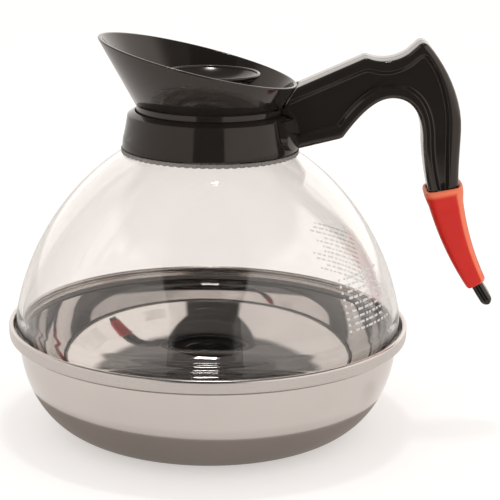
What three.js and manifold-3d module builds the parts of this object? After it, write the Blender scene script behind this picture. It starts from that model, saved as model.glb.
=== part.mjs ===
// A commercial coffee decanter, as an assembly of separate pieces.
//
// A stainless base bowl carries a clear dome, held by a rolled steel hoop. A black collar on the
// dome's neck holds a pouring funnel and a hooked handle, whose tail wears a push-on grip sleeve.
// A dished lid lifts out of the funnel.
//
// Millimetres, +Z up. The origin is the centre of the flat bottom. The handle points along +X and
// the pouring lip along -X.

import * as THREE from 'three';
import { mergeVertices } from 'three/addons/utils/BufferGeometryUtils.js';
import Module from 'manifold-3d';

const wasm = await Module();
wasm.setup();

// ---------------------------------------------------------------- driving dimensions

const ROUND_STEPS = 36;        // facets round every large turned piece
const SMALL_STEPS = 16;        // facets round a small turned piece
const CURVE_STEPS = 4;         // facets along one curve of an outline
const GAP = 0.3;               // clearance between pieces that touch

const BASE_FLAT_R = 53.5;      // flat bottom of the base bowl
const BASE_R = 84.5;           // base bowl at the joint
const BASE_H = 42;             // height at which the bowl's wall stands upright
const BASE_WALL = 1;

const HOOP_R = 89;             // outside of the rolled hoop
const HOOP_BEAD_R = 1.1;       // rolled top edge of the hoop
const HOOP_TOP = 48.6;
const HOOP_SHEET = 0.9;

const DOME_FOOT_Z = 45;
const DOME_FOOT_R = 85.6;
const DOME_CENTRE_Z = 38.04;   // the dome is a superellipse turned about the axis
const DOME_A = 86.92;
const DOME_B = 98.53;
const DOME_POWER = 1.865;
const DOME_WALL = 2.5;
const DOME_SHOULDER_R = 35.5;  // where the dome turns up into the neck
const NECK_R = 31.2;
const NECK_TOP = 141;
const NECK_BEAD_R = 33;

const COLLAR_BOTTOM = 126.3;
const COLLAR_R = 38.5;
const COLLAR_SHOULDER_R = 36.3;
const COLLAR_SHOULDER_Z = 141;
const COLLAR_BORE_R = 33.4;

const THROAT_R = 26.4;         // bore of the funnel's skirt
const THROAT_BOTTOM = 131;
const THROAT_LEDGE_Z = 145;    // ledge that carries the lid
const FUNNEL_NECK_R = 32.4;
const CONE_START_R = 32.9;
const CONE_START_Z = 145.5;
const CONE_FLARE = 0.563;      // radius gained per millimetre of height
const CONE_WALL = 1.8;
const LIP_X = -48.9;           // tip of the pouring lip
const LIP_Z = 174.6;
const RIM_SLOPE = 0.2314;      // the rim falls from the lip towards the handle

const LID_R = 21.5;
const LID_TOP = 159.3;
const LID_RIM_R = 1;
const LID_DRAIN_R = 3;
const LID_STEM_R = 4.6;

const HANDLE_THICK = 20;
const HANDLE_EDGE = 1.8;       // rounding along the handle's edges
const PANEL_DEPTH = 2.5;       // recess in each side of the handle
const SADDLE_R = 39.9;
const SADDLE_HALF_WIDTH = 21.5;
const SADDLE_CORNER_R = 10;
const SADDLE_BOTTOM = 128.2;
const FLANGE_TOP = 141.3;      // the saddle's wide part stops level with the collar's shoulder
const ROOT_HALF_WIDTH = 9.7;   // the hook's root above the saddle, against the funnel
const ROOT_WAIST_R = 35.6;

// The handle's tail and the sleeve on it follow one arc, in the plane of the handle.
const TAIL_ARC_X = 234.75;
const TAIL_ARC_Z = 137.3;
const TAIL_ARC_R = 135;
const TAIL_TOP = degrees(11);
const TAIL_WAIST = degrees(30.8);
const TAIL_END = degrees(34.4);
const GRIP_END_HALF = 6.75;    // half of the grip's width where the tail starts
const TAIL_TOP_HALF = 6.5;     // half of the tail's width, across the arc
const TAIL_WAIST_HALF = 2.6;
const TAIL_TOP_DEPTH = 9.6;    // half of the tail's thickness, along Y
const TAIL_WAIST_DEPTH = 7.1;

const SLEEVE_WALL = 2;
const SLEEVE_TOP = degrees(11.2);
const SLEEVE_END = degrees(30.8);

const SCREW_SHANK_R = 1.3;
const SCREW_HEAD_R = 2.8;
const SCREW_LENGTH = 12;
const LOW_SCREW_Z = 130.8;
const LOW_SCREW_Y = 6;
const TOP_SCREW_Z = 139.2;

// ---------------------------------------------------------------- materials

function finish(color, roughness, metalness, opacity = 1) {
  return new THREE.MeshStandardMaterial({
    color, roughness, metalness, opacity, transparent: opacity < 1,
  });
}

const satinSteel = () => finish(0xc8c0bb, 0.32, 1);
const polishedSteel = () => finish(0xb4aca6, 0.12, 1);
const springSteel = () => finish(0x9a9794, 0.4, 1);
const blackPlastic = () => finish(0x1c1a18, 0.12, 0);
const clearPlastic = () => finish(0xf2efed, 0.04, 0, 0.3);
const orangeRubber = () => finish(0xd03a28, 0.55, 0);
const greySilicone = () => finish(0xb9b3ad, 0.5, 0);
const blackSilicone = () => finish(0x242220, 0.6, 0);

// ---------------------------------------------------------------- small tools

function degrees(value) {
  return value * Math.PI / 180;
}

function lerp(from, to, share) {
  return from + (to - from) * share;
}

// Points along a quadratic curve in the (radius, height) plane, its first point left out.
function curve(start, control, end, steps = CURVE_STEPS) {
  const path = new THREE.QuadraticBezierCurve(
    new THREE.Vector2(...start), new THREE.Vector2(...control), new THREE.Vector2(...end),
  );
  return path.getPoints(steps).slice(1).map((point) => point.toArray());
}

// Points along an arc of a circle, from one angle to another, both ends included.
function arc(centreR, centreZ, radius, from, to, steps = CURVE_STEPS) {
  const points = [];
  for (let i = 0; i <= steps; i += 1) {
    const angle = degrees(lerp(from, to, i / steps));
    points.push([centreR + radius * Math.cos(angle), centreZ + radius * Math.sin(angle)]);
  }
  return points;
}

// A profile of [radius, height] points turned about the Z axis.
function turned(profile, steps = ROUND_STEPS) {
  const points = profile.map(([r, z]) => new THREE.Vector2(r, z));
  return solid(new THREE.LatheGeometry(points, steps).rotateX(Math.PI / 2));
}

// A ring: its section is a closed loop that stays off the axis.
function ring(section, steps = ROUND_STEPS) {
  return turned([...section, section[0]], steps);
}

function solid(geometry) {
  const bare = geometry.clone();
  bare.deleteAttribute('normal');
  bare.deleteAttribute('uv');
  const merged = mergeVertices(bare, 1e-4);
  const corners = merged.index.array;
  const triVerts = [];
  for (let i = 0; i < corners.length; i += 3) {
    const [a, b, c] = [corners[i], corners[i + 1], corners[i + 2]];
    if (a !== b && b !== c && c !== a) {
      triVerts.push(a, b, c);
    }
  }
  return new wasm.Manifold(new wasm.Mesh({
    numProp: 3,
    vertProperties: merged.attributes.position.array,
    triVerts: new Uint32Array(triVerts),
  }));
}

function piece(name, body, material) {
  const { vertProperties, triVerts } = body.getMesh();
  const geometry = new THREE.BufferGeometry();
  geometry.setAttribute('position', new THREE.BufferAttribute(vertProperties, 3));
  geometry.setIndex(new THREE.BufferAttribute(triVerts, 1));
  geometry.computeVertexNormals();
  const mesh = new THREE.Mesh(geometry, material);
  mesh.name = name;
  return mesh;
}

// A flat outline in the handle's plane (x across, y up) given an even thickness along Y.
function slab(outline, thickness, edge = 0) {
  const depth = thickness - 2 * edge;
  const geometry = new THREE.ExtrudeGeometry(outline, {
    depth,
    curveSegments: CURVE_STEPS,
    bevelEnabled: edge > 0,
    bevelThickness: edge,
    bevelSize: edge,
    bevelOffset: -edge,
    bevelSegments: 1,
  });
  return solid(geometry.rotateX(Math.PI / 2).translate(0, depth / 2, 0));
}

// ---------------------------------------------------------------- base

function bowlRadius(z, flat, reach, height) {
  return flat + reach * Math.sqrt(1 - ((height - z) / height) ** 2);
}

function bowlSide(floorZ, reach) {
  const height = BASE_H - floorZ;
  const steps = 7;
  const points = [];
  for (let i = 0; i <= steps; i += 1) {
    const z = height * (1 - Math.cos((i / steps) * Math.PI / 2));
    points.push([bowlRadius(z, BASE_FLAT_R, reach, height), floorZ + z]);
  }
  return points;
}

function baseBowl() {
  const outside = bowlSide(0, BASE_R - BASE_FLAT_R);
  const inside = bowlSide(BASE_WALL, BASE_R - BASE_WALL - BASE_FLAT_R).reverse();
  const flaredLip = [[BASE_R + 2.2, BASE_H + 1.3], [BASE_R + 1.7, BASE_H + 2]];
  return turned([[0, 0], ...outside, ...flaredLip, ...inside, [0, BASE_WALL]]);
}

function baseSeal() {
  const top = DOME_FOOT_Z - GAP;
  const inner = DOME_FOOT_R - DOME_WALL;
  return ring([
    [inner, top - 1.8], [inner + 1, top - 1.8], [inner + 2.9, top - 0.5], [inner + 2.9, top], [inner, top],
  ]);
}

function rimHoop() {
  const inside = HOOP_R - HOOP_SHEET;
  const beadR = HOOP_R - HOOP_BEAD_R;
  const beadZ = HOOP_TOP - HOOP_BEAD_R;
  return ring([
    [BASE_R + 0.5, 41], [87.9, 42.2], [88.8, 43.1], [HOOP_R, 44],
    ...arc(beadR, beadZ, HOOP_BEAD_R, 0, 225),
    [inside, 46.2], [inside, 44], [87.6, 43], [BASE_R + 0.5, 41.7],
  ]);
}

// ---------------------------------------------------------------- dome and neck

// Height of the dome's surface at a radius, on a shell set in from the outside by `inset`.
function domeHeight(r, inset) {
  const share = r / (DOME_A - inset);
  return DOME_CENTRE_Z + (DOME_B - inset) * (1 - share ** DOME_POWER) ** (1 / DOME_POWER);
}

// The dome's wall between two radii, from the wider to the narrower, evenly spread along the curve.
function domeSide(wideR, narrowR, inset) {
  const steps = 9;
  const reach = DOME_A - inset;
  const points = [];
  for (let i = 0; i <= steps; i += 1) {
    const lean = lerp(Math.acos(wideR / reach), Math.acos(narrowR / reach), i / steps);
    const r = reach * Math.cos(lean);
    points.push([r, domeHeight(r, inset)]);
  }
  return points;
}

function dome() {
  const footInnerR = DOME_FOOT_R - DOME_WALL;
  const neckInnerR = NECK_R - DOME_WALL;
  const shoulderInnerR = DOME_SHOULDER_R - DOME_WALL;
  const footFlange = [
    [footInnerR, DOME_FOOT_Z], [DOME_FOOT_R + 2.1, DOME_FOOT_Z],
    [DOME_FOOT_R + 2.1, DOME_FOOT_Z + 0.9], [DOME_FOOT_R + 0.5, DOME_FOOT_Z + 1.3],
    [DOME_FOOT_R, DOME_FOOT_Z + 2.2],
  ];
  const outside = domeSide(DOME_FOOT_R, DOME_SHOULDER_R, 0);
  const inside = domeSide(footInnerR, shoulderInnerR, DOME_WALL);
  const bead = [
    [NECK_R, NECK_TOP - 3.6], [NECK_BEAD_R, NECK_TOP - 2.8], [NECK_BEAD_R, NECK_TOP - 0.6],
    [NECK_BEAD_R - 0.6, NECK_TOP],
  ];
  return ring([
    ...footFlange,
    ...outside, ...curve(outside.at(-1), [NECK_R, 128.4], [NECK_R, 132]),
    ...bead, [neckInnerR, NECK_TOP], [neckInnerR, 129.5],
    ...curve([neckInnerR, 129.5], [neckInnerR, 127], inside.at(-1)), ...inside.reverse().slice(1),
  ]);
}

function neckSeal() {
  const top = COLLAR_BOTTOM - GAP;
  return ring([[39, 124.5], [39, top], [36.8, top]]);
}

function neckClip() {
  const top = NECK_TOP - 3.6 - GAP;
  const hoop = ring([[31.5, top - 3.1], [34.6, top - 3.1], [34.6, top], [31.5, top]]);
  const split = solid(new THREE.BoxGeometry(8, 9, 8).translate(33, 0, top - 1.5));
  return hoop.subtract(split);
}

function collarBody() {
  return ring([
    [36.6, COLLAR_BOTTOM], [COLLAR_R - 0.3, COLLAR_BOTTOM], [COLLAR_R, COLLAR_BOTTOM + 0.5],
    [38.2, 130.5], ...curve([38.2, 130.5], [37.2, 134], [COLLAR_SHOULDER_R, COLLAR_SHOULDER_Z - 0.5], 4),
    [COLLAR_SHOULDER_R - 0.4, COLLAR_SHOULDER_Z], [33.6, 142.5], [33, 142.3], [33, 141.6],
    [33.6, 141.2], [33.6, 138.4], [34.9, 137.4], [34.9, 133.7], [COLLAR_BORE_R, 133.7],
    [COLLAR_BORE_R, 128.6],
  ]);
}

function collar() {
  return screwHoles().reduce((body, hole) => body.subtract(hole), collarBody());
}

// ---------------------------------------------------------------- funnel

function coneRadius(z) {
  return CONE_START_R + CONE_FLARE * (z - CONE_START_Z);
}

// Everything above the funnel's sloping rim, lowered by a clearance.
function aboveRim(clearance = 0) {
  const size = 300;
  return solid(
    new THREE.BoxGeometry(size, size, size)
      .translate(0, 0, size / 2 - clearance)
      .rotateY(Math.atan(RIM_SLOPE))
      .translate(LIP_X, 0, LIP_Z),
  );
}

function funnel() {
  const coneTop = 180;
  const skirtR = NECK_R - DOME_WALL - GAP;
  const flangeZ = NECK_TOP + 0.4;
  const body = ring([
    [THROAT_R, THROAT_BOTTOM], [skirtR, THROAT_BOTTOM], [skirtR, flangeZ], [29.3, flangeZ],
    [29.3, flangeZ + 1.7], [31.7, flangeZ + 1.7], [31.7, flangeZ], [FUNNEL_NECK_R, flangeZ],
    [FUNNEL_NECK_R, CONE_START_Z - 0.4], [CONE_START_R, CONE_START_Z], [coneRadius(coneTop), coneTop],
    [coneRadius(coneTop) - CONE_WALL, coneTop], [coneRadius(THROAT_LEDGE_Z) - CONE_WALL, THROAT_LEDGE_Z],
    [THROAT_R, THROAT_LEDGE_Z],
  ]);
  return body.subtract(aboveRim());
}

function funnelSeal() {
  return ring(arc(30.5, 142.1, 0.8, 0, 300, 5));
}

// ---------------------------------------------------------------- lid

function lidCap() {
  const hubTop = 150.4;
  const rimR = LID_R - LID_RIM_R;
  const rimZ = LID_TOP - LID_RIM_R;
  return ring([
    [LID_DRAIN_R, 141.6], [LID_STEM_R - 0.4, 141.6], [LID_STEM_R + 0.8, 142.8], [LID_STEM_R, 143],
    [LID_STEM_R, hubTop + GAP], [8, hubTop + GAP],
    ...curve([8, hubTop + GAP], [14, 151.4], [LID_R - 0.4, 157.4], 4),
    ...arc(rimR, rimZ, LID_RIM_R, 0, 180, 4),
    ...curve([rimR - LID_RIM_R, rimZ - 0.5], [12.5, 153.2], [LID_DRAIN_R, 152.7], 4),
  ], 28);
}

function lidSpider() {
  const skirtR = THROAT_R - GAP;
  const seatZ = THROAT_LEDGE_Z + GAP;
  const seat = ring([
    [24.4, 139.5], [skirtR, 139.5], [skirtR, seatZ], [29.6, seatZ], [29.6, seatZ + 1.7], [24.4, seatZ + 1.7],
  ]);
  const hubBore = LID_STEM_R + GAP;
  const hub = ring([[hubBore, 143.3], [6.8, 143.3], [6.8, 150.4], [hubBore, 150.4]], SMALL_STEPS);
  const outline = new THREE.Shape([
    new THREE.Vector2(6, 144), new THREE.Vector2(25.2, 144), new THREE.Vector2(25.2, 146.6),
    new THREE.Vector2(10, 149.4), new THREE.Vector2(6, 150),
  ]);
  let body = seat.add(hub);
  for (let quarter = 0; quarter < 4; quarter += 1) {
    body = body.add(slab(outline, 1.8).rotate([0, 0, 45 + 90 * quarter]));
  }
  return body;
}

// ---------------------------------------------------------------- handle

// Side view of the hook, from the saddle over the peak and down to the top of the tail.
function hookOutline() {
  const outerEnd = tailPoint(TAIL_TOP, -GRIP_END_HALF);
  const innerEnd = tailPoint(TAIL_TOP, GRIP_END_HALF);
  const shape = new THREE.Shape();
  shape.moveTo(33, 152.4);
  shape.lineTo(65.2, 167.2);
  shape.quadraticCurveTo(66.6, 167.9, 68, 167.5);
  shape.bezierCurveTo(72.5, 165.9, 79, 165.9, 84.6, 169.9);
  shape.lineTo(88.2, 173.1);
  shape.quadraticCurveTo(90.6, 175.9, 93.2, 173.6);
  shape.bezierCurveTo(100.4, 166.1, 108.7, 151.6, 108.7, 137);
  shape.bezierCurveTo(108.7, 128, 108.2, 119.5, outerEnd.x, outerEnd.z);
  shape.lineTo(innerEnd.x, innerEnd.z);
  shape.quadraticCurveTo(93.1, 121.5, 92.4, 131);
  shape.bezierCurveTo(92.3, 143.3, 87.4, 150.6, 79.1, 150.6);
  shape.bezierCurveTo(72.6, 150.6, 66.7, 146, 58.1, 133.6);
  shape.quadraticCurveTo(57.4, 132.7, 55.5, 132.3);
  shape.lineTo(33, 126.4);
  return shape;
}

// The recess in each side, which leaves a raised border along the hook's edges.
function panelOutline() {
  const shape = new THREE.Shape();
  shape.moveTo(30, 146.7);
  shape.lineTo(64.5, 162.3);
  shape.quadraticCurveTo(67.3, 163.7, 70, 162.9);
  shape.bezierCurveTo(75, 161.4, 81.5, 162.3, 87, 167.1);
  shape.quadraticCurveTo(91, 171.6, 93.6, 168.7);
  shape.bezierCurveTo(98.8, 162.4, 103.6, 150.6, 103.6, 136.5);
  shape.quadraticCurveTo(103.8, 122, 106, 104);
  shape.lineTo(100, 104);
  shape.quadraticCurveTo(96, 121, 95.7, 131.5);
  shape.bezierCurveTo(95.5, 145.5, 90.2, 155.2, 79.5, 155.2);
  shape.bezierCurveTo(71, 155.2, 64.5, 150, 56, 137.6);
  shape.lineTo(30, 130.4);
  return shape;
}

// What the collar and the funnel fill, with clearance: the handle's root is hollowed by it.
function neckSpace() {
  const high = 160;
  const shoulderR = COLLAR_SHOULDER_R + GAP;
  const neckR = FUNNEL_NECK_R + GAP;
  return turned([
    [0, 120], [COLLAR_R + GAP, 120], [COLLAR_R + GAP, 130.5],
    ...curve([COLLAR_R + GAP, 130.5], [37.6, 134], [shoulderR, COLLAR_SHOULDER_Z - 0.5], 4),
    [shoulderR, FLANGE_TOP], [34, 142.9], [neckR, 142.9], [neckR, CONE_START_Z - 0.3],
    [CONE_START_R + 0.6, CONE_START_Z], [coneRadius(high) + GAP + 0.3, high], [0, high],
  ]);
}

// The root's outside: a drum round the collar, drawn in to a waist round the funnel's neck, and above
// that a cone a little wider than the funnel's.
function rootDrum() {
  const high = 170;
  const overCone = 1.3;
  return turned([
    [0, 125], [SADDLE_R, 125], [SADDLE_R, 136], [SADDLE_R - 1.2, 139.5], [SADDLE_R - 1.6, FLANGE_TOP],
    [ROOT_WAIST_R, 144], [ROOT_WAIST_R, 147.5],
    [coneRadius(151) + overCone, 151], [coneRadius(high) + overCone, high], [0, high],
  ]);
}

// The flange that wraps part of the way round the collar, with two round lower corners, and above it
// the hook's narrower root.
function saddle() {
  const high = 170;
  const cornerY = SADDLE_HALF_WIDTH - SADDLE_CORNER_R;
  const cornerZ = SADDLE_BOTTOM + SADDLE_CORNER_R;
  const outline = new THREE.Shape();
  outline.moveTo(-SADDLE_HALF_WIDTH, FLANGE_TOP);
  outline.absarc(-cornerY, cornerZ, SADDLE_CORNER_R, Math.PI, 1.5 * Math.PI);
  outline.absarc(cornerY, cornerZ, SADDLE_CORNER_R, -0.5 * Math.PI, 0);
  outline.lineTo(SADDLE_HALF_WIDTH, FLANGE_TOP);
  outline.lineTo(ROOT_HALF_WIDTH, FLANGE_TOP);
  outline.lineTo(ROOT_HALF_WIDTH, high);
  outline.lineTo(-ROOT_HALF_WIDTH, high);
  outline.lineTo(-ROOT_HALF_WIDTH, FLANGE_TOP);
  const shield = solid(
    new THREE.ExtrudeGeometry(outline, { depth: 40, bevelEnabled: false, curveSegments: CURVE_STEPS })
      .rotateX(Math.PI / 2).rotateZ(Math.PI / 2).translate(20, 0, 0),
  );
  return rootDrum().intersect(shield).subtract(aboveRim(GAP));
}

// A point of the handle's plane, given by its angle on the tail's arc and its distance across it.
function tailPoint(angle, across) {
  const radius = TAIL_ARC_R + across;
  return { x: TAIL_ARC_X - radius * Math.cos(angle), z: TAIL_ARC_Z - radius * Math.sin(angle) };
}

function tailTaper(angle, top, waist) {
  const share = (angle - TAIL_TOP) / (TAIL_WAIST - TAIL_TOP);
  return lerp(top, waist, Math.min(share, 1));
}

// A bar with rounded corners bent along the tail's arc, as much wider than the tail as `extra`.
function tailBar(from, to, extra) {
  const corner = 0.45;
  const outline = new THREE.Shape();
  outline.absarc(1 - corner, 1 - corner, corner, 0, Math.PI / 2);
  outline.absarc(corner - 1, 1 - corner, corner, Math.PI / 2, Math.PI);
  outline.absarc(corner - 1, corner - 1, corner, Math.PI, 1.5 * Math.PI);
  outline.absarc(1 - corner, corner - 1, corner, 1.5 * Math.PI, 2 * Math.PI);
  const bar = new THREE.ExtrudeGeometry(outline, {
    depth: 1, steps: 6, bevelEnabled: false, curveSegments: 2,
  });
  const place = bar.attributes.position;
  for (let i = 0; i < place.count; i += 1) {
    const angle = lerp(from, to, place.getZ(i));
    const half = tailTaper(angle, TAIL_TOP_HALF, TAIL_WAIST_HALF) + extra;
    const depth = tailTaper(angle, TAIL_TOP_DEPTH, TAIL_WAIST_DEPTH) + extra;
    const { x, z } = tailPoint(angle, place.getX(i) * half);
    place.setXYZ(i, x, place.getY(i) * depth, z);
  }
  return solid(bar);
}

function tailTip() {
  const { x, z } = tailPoint(TAIL_END, 0);
  const depth = 2 * (TAIL_WAIST_DEPTH - 0.6);
  const tip = new THREE.CylinderGeometry(TAIL_WAIST_HALF, TAIL_WAIST_HALF, depth, SMALL_STEPS);
  return solid(tip.translate(x, 0, z));
}

function handle() {
  const panel = panelOutline();
  const recessY = HANDLE_THICK / 2;
  let body = slab(hookOutline(), HANDLE_THICK, HANDLE_EDGE);
  for (const side of [-1, 1]) {
    body = body.subtract(slab(panel, 2 * PANEL_DEPTH).translate([0, side * recessY, 0]));
  }
  body = body.add(saddle()).subtract(neckSpace());
  body = body.add(tailBar(TAIL_TOP - degrees(0.6), TAIL_END, 0)).add(tailTip());
  return screwHoles().reduce((rest, hole) => rest.subtract(hole), body);
}

function gripSleeve() {
  const outside = tailBar(SLEEVE_TOP, SLEEVE_END, SLEEVE_WALL + GAP);
  const bore = tailBar(SLEEVE_TOP - degrees(1), SLEEVE_END + degrees(1), GAP);
  return outside.subtract(bore);
}

// ---------------------------------------------------------------- handle screws

// Countersunk screws driven outwards through the collar's wall into the handle.
const screwPlaces = {
  handle_screw_left: { x: 33, y: -LOW_SCREW_Y, z: LOW_SCREW_Z },
  handle_screw_right: { x: 33, y: LOW_SCREW_Y, z: LOW_SCREW_Z },
  handle_screw_top: { x: 33.8, y: 0, z: TOP_SCREW_Z },
};

function screwShape(extra) {
  const countersink = 1.7;
  const tip = 1.2;
  const shank = SCREW_SHANK_R + extra;
  const head = SCREW_HEAD_R + extra;
  return turned([
    [0, -extra], [head, -extra], [head, 0.3], [shank, countersink],
    [shank, SCREW_LENGTH - tip + extra], [0.3, SCREW_LENGTH + extra], [0, SCREW_LENGTH + extra],
  ], 12).rotate([0, 90, 0]);
}

function screw(place) {
  return screwShape(0).translate([place.x, place.y, place.z]);
}

function screwHoles() {
  return Object.values(screwPlaces).map((place) => screwShape(GAP).translate([place.x, place.y, place.z]));
}

// ---------------------------------------------------------------- the whole decanter

const decanter = new THREE.Group();
decanter.add(
  piece('base_bowl', baseBowl(), polishedSteel()),
  piece('base_seal', baseSeal(), greySilicone()),
  piece('rim_hoop', rimHoop(), satinSteel()),
  piece('dome', dome(), clearPlastic()),
  piece('neck_seal', neckSeal(), greySilicone()),
  piece('neck_clip', neckClip(), springSteel()),
  piece('collar', collar(), blackPlastic()),
  piece('funnel_seal', funnelSeal(), blackSilicone()),
  piece('funnel', funnel(), blackPlastic()),
  piece('lid_cap', lidCap(), blackPlastic()),
  piece('lid_spider', lidSpider(), blackPlastic()),
  piece('handle', handle(), blackPlastic()),
  piece('grip_sleeve', gripSleeve(), orangeRubber()),
);
for (const [name, place] of Object.entries(screwPlaces)) {
  decanter.add(piece(name, screw(place), springSteel()));
}

export default decanter;
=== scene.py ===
"""A commercial coffee decanter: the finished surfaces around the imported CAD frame.

Every outline below is in millimetres, in the frame's own axes: +Z up, the handle along +X and
the pouring lip along -X. Blender's meshes are made in metres.
"""

import math
import random

import bmesh
import bpy
from mathutils import Euler, Matrix, Vector


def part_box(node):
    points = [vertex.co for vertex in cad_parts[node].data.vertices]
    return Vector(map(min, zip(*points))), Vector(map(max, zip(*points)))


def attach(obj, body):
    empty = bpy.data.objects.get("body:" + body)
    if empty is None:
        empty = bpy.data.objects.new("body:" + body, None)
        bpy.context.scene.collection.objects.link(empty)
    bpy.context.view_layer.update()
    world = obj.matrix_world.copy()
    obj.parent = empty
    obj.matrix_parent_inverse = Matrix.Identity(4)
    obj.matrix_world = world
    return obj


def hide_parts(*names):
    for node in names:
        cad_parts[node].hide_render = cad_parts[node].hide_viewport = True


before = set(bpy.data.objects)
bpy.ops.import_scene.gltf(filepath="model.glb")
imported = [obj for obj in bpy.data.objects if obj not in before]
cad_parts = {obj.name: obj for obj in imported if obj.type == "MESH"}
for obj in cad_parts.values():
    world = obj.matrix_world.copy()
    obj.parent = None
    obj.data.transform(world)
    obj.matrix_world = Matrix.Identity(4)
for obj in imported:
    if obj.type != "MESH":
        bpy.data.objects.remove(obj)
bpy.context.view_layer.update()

MM = 0.001

# ------------------------------ sizes taken from the frame


def bottom(node):
    """The height of a piece's lowest point."""
    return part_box(node)[0].z / MM


def top(node):
    """The height of a piece's highest point."""
    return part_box(node)[1].z / MM


def reach(node):
    """The greatest radius of a piece that is turned about the Z axis."""
    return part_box(node)[1].y / MM


BASE_BRIM_R = reach("base_bowl")
HOOP_R = reach("rim_hoop")
HOOP_TOP = top("rim_hoop")
DOME_FLANGE_R = reach("dome")
DOME_FOOT_Z = bottom("dome")
NECK_TOP = top("dome")
COLLAR_R = reach("collar")
COLLAR_BOTTOM = bottom("collar")
THROAT_BOTTOM = bottom("funnel")
LIP_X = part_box("funnel")[0].x / MM
LIP_Z = top("funnel")
LID_TOP = top("lid_cap")
LID_STEM_BOTTOM = bottom("lid_cap")
SPIDER_BOTTOM = bottom("lid_spider")

# ------------------------------ driving dimensions of the surfaces

ROUND = 192                    # segments round a large turned piece
GAP = 0.3                      # clearance between neighbouring pieces
WELD = 1e-7                    # points closer than this, in metres, are one

BASE_FLAT_R = 53.5             # flat bottom of the base bowl
BRIM_FLARE = 2.2               # how far the bowl's brim turns out
BASE_R = BASE_BRIM_R - BRIM_FLARE
BASE_H = 42.0
BASE_WALL = 1.0
HOOP_BEAD_R = 1.1              # rolled top edge of the hoop

DOME_FOOT_R = DOME_FLANGE_R - 2.1
DOME_CENTRE_Z = 38.04          # the dome is a superellipse turned about the axis
DOME_A = 86.92
DOME_B = 98.53
DOME_POWER = 1.865
DOME_WALL = 2.5
DOME_SHOULDER_R = 35.5         # where the dome turns up into the neck
NECK_R = 31.2
NECK_FOOT_Z = 132.0            # where the neck's outside stands upright
NECK_BORE_FOOT_Z = 129.5       # the same on its inside
NECK_BEAD_R = 33.0
SEAL_TEETH = 72

MARK_HALF = 0.46               # half the height of a printed dash
MARK_LENGTHS = (0.7, 2.6)      # shortest and longest dash, in degrees round the dome
MARK_GAPS = (0.5, 1.0)         # narrowest and widest gap between dashes, in degrees
MARK_LAST = 0.8                # a row ends when it has less than this left, in degrees
MARK_RAGGED = 7.0              # how far a row's end can fall short, in degrees

COLLAR_FOOT_R = 38.2           # foot of the collar's concave side
COLLAR_FOOT_Z = 130.5
COLLAR_SHOULDER_R = COLLAR_R - 2.2
COLLAR_SHOULDER_Z = NECK_TOP
COLLAR_BORE_R = 33.4

THROAT_R = 26.4                # bore of the funnel's skirt
SKIRT_R = NECK_R - DOME_WALL - GAP
FUNNEL_NECK_R = 32.4
CONE_START_R = 32.9
CONE_START_Z = 145.5
CONE_FLARE = 0.563             # radius gained per millimetre of height
CONE_WALL = 1.8
RIM_SLOPE = 0.2314             # the rim falls from the lip towards the handle
LEDGE_Z = 145.0                # ledge that carries the lid

LID_R = 21.5
LID_DRAIN_R = 3.0
LID_STEM_R = 4.6

HANDLE_HALF = 10.0             # half of the hook's thickness
GRIP_THINNING = 0.45           # taken off that at the hook's end, so that it meets the tail
PANEL_DEPTH = 1.9              # recess in each side of the handle
PANEL_BEVEL = 1.5              # width of the slope down into it
PARTING_HALF = 0.35            # half of the parting line round the handle's edge
PARTING_DEPTH = 0.25
SADDLE_EDGE_R = 1.6            # rounding of the hook's edges at the saddle
OUTER_EDGE_R = 3.4             # the same on the grip, along its outer side
INNER_EDGE_R = 2.4             # and along its inner side
SADDLE_R = 39.9
SADDLE_HALF_WIDTH = 21.5
SADDLE_CORNER_R = 10.0
SADDLE_BOTTOM = 128.2
FLANGE_TOP = 141.3             # the saddle's wide part stops level with the collar's shoulder
ROOT_HALF_WIDTH = 9.7          # the hook's root above it, against the funnel
ROOT_WAIST_R = 35.6

# The handle's tail and the sleeve on it follow one arc in the handle's plane.
TAIL_ARC_X = 234.75
TAIL_ARC_Z = 137.3
TAIL_ARC_R = 135.0
TAIL_TOP = math.radians(11)
TAIL_WAIST = math.radians(30.8)
TAIL_END = math.radians(34.4)
GRIP_END_HALF = 6.75
TAIL_TOP_HALF = 6.5
TAIL_WAIST_HALF = 2.6
TAIL_TOP_DEPTH = 9.6
TAIL_WAIST_DEPTH = 7.1
SLEEVE_TOP = math.radians(11.2)
SLEEVE_WALL = 2.0

# ------------------------------ outlines


def lerp(start, end, share):
    """The value a share of the way from start to end."""
    return start + (end - start) * share


def on_curve(hull, share):
    """A point of the Bezier curve with these control points, of any degree."""
    while len(hull) > 1:
        hull = [a.lerp(b, share) for a, b in zip(hull, hull[1:])]
    return hull[0]


def follow(start, *legs, steps=10):
    """Points along a chain of lines and curves. A leg is its control points, if any, and its end."""
    points = [Vector(start)]
    for leg in legs:
        hull = [points[-1], *map(Vector, leg)]
        points += [on_curve(hull, i / steps) for i in range(1, steps + 1)]
    return points


def fillet(before, corner, after, radius, steps):
    """An arc that replaces a corner between two straight edges."""
    u = (before - corner).normalized()
    v = (after - corner).normalized()
    half = u.angle(v) / 2
    shorter = min((before - corner).length, (after - corner).length)
    reach_back = min(radius / math.tan(half), 0.49 * shorter)
    radius = reach_back * math.tan(half)
    centre = corner + (u + v).normalized() * radius / math.sin(half)
    a = corner + u * reach_back - centre
    b = corner + v * reach_back - centre
    swing = math.pi - 2 * half
    points = []
    for i in range(steps + 1):
        share = i / steps
        spoke = a * math.sin((1 - share) * swing) + b * math.sin(share * swing)
        points.append(centre + spoke / math.sin(swing))
    return points


def rounded(corners, closed=True, steps=5):
    """An outline through corners (a, b) or (a, b, fillet radius)."""
    spots = [Vector(corner[:2]) for corner in corners]
    points = []
    for i, corner in enumerate(corners):
        at_end = not closed and i in (0, len(corners) - 1)
        if len(corner) < 3 or at_end:
            points.append(spots[i])
        else:
            points += fillet(spots[i - 1], spots[i], spots[(i + 1) % len(spots)], corner[2], steps)
    return points


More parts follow.
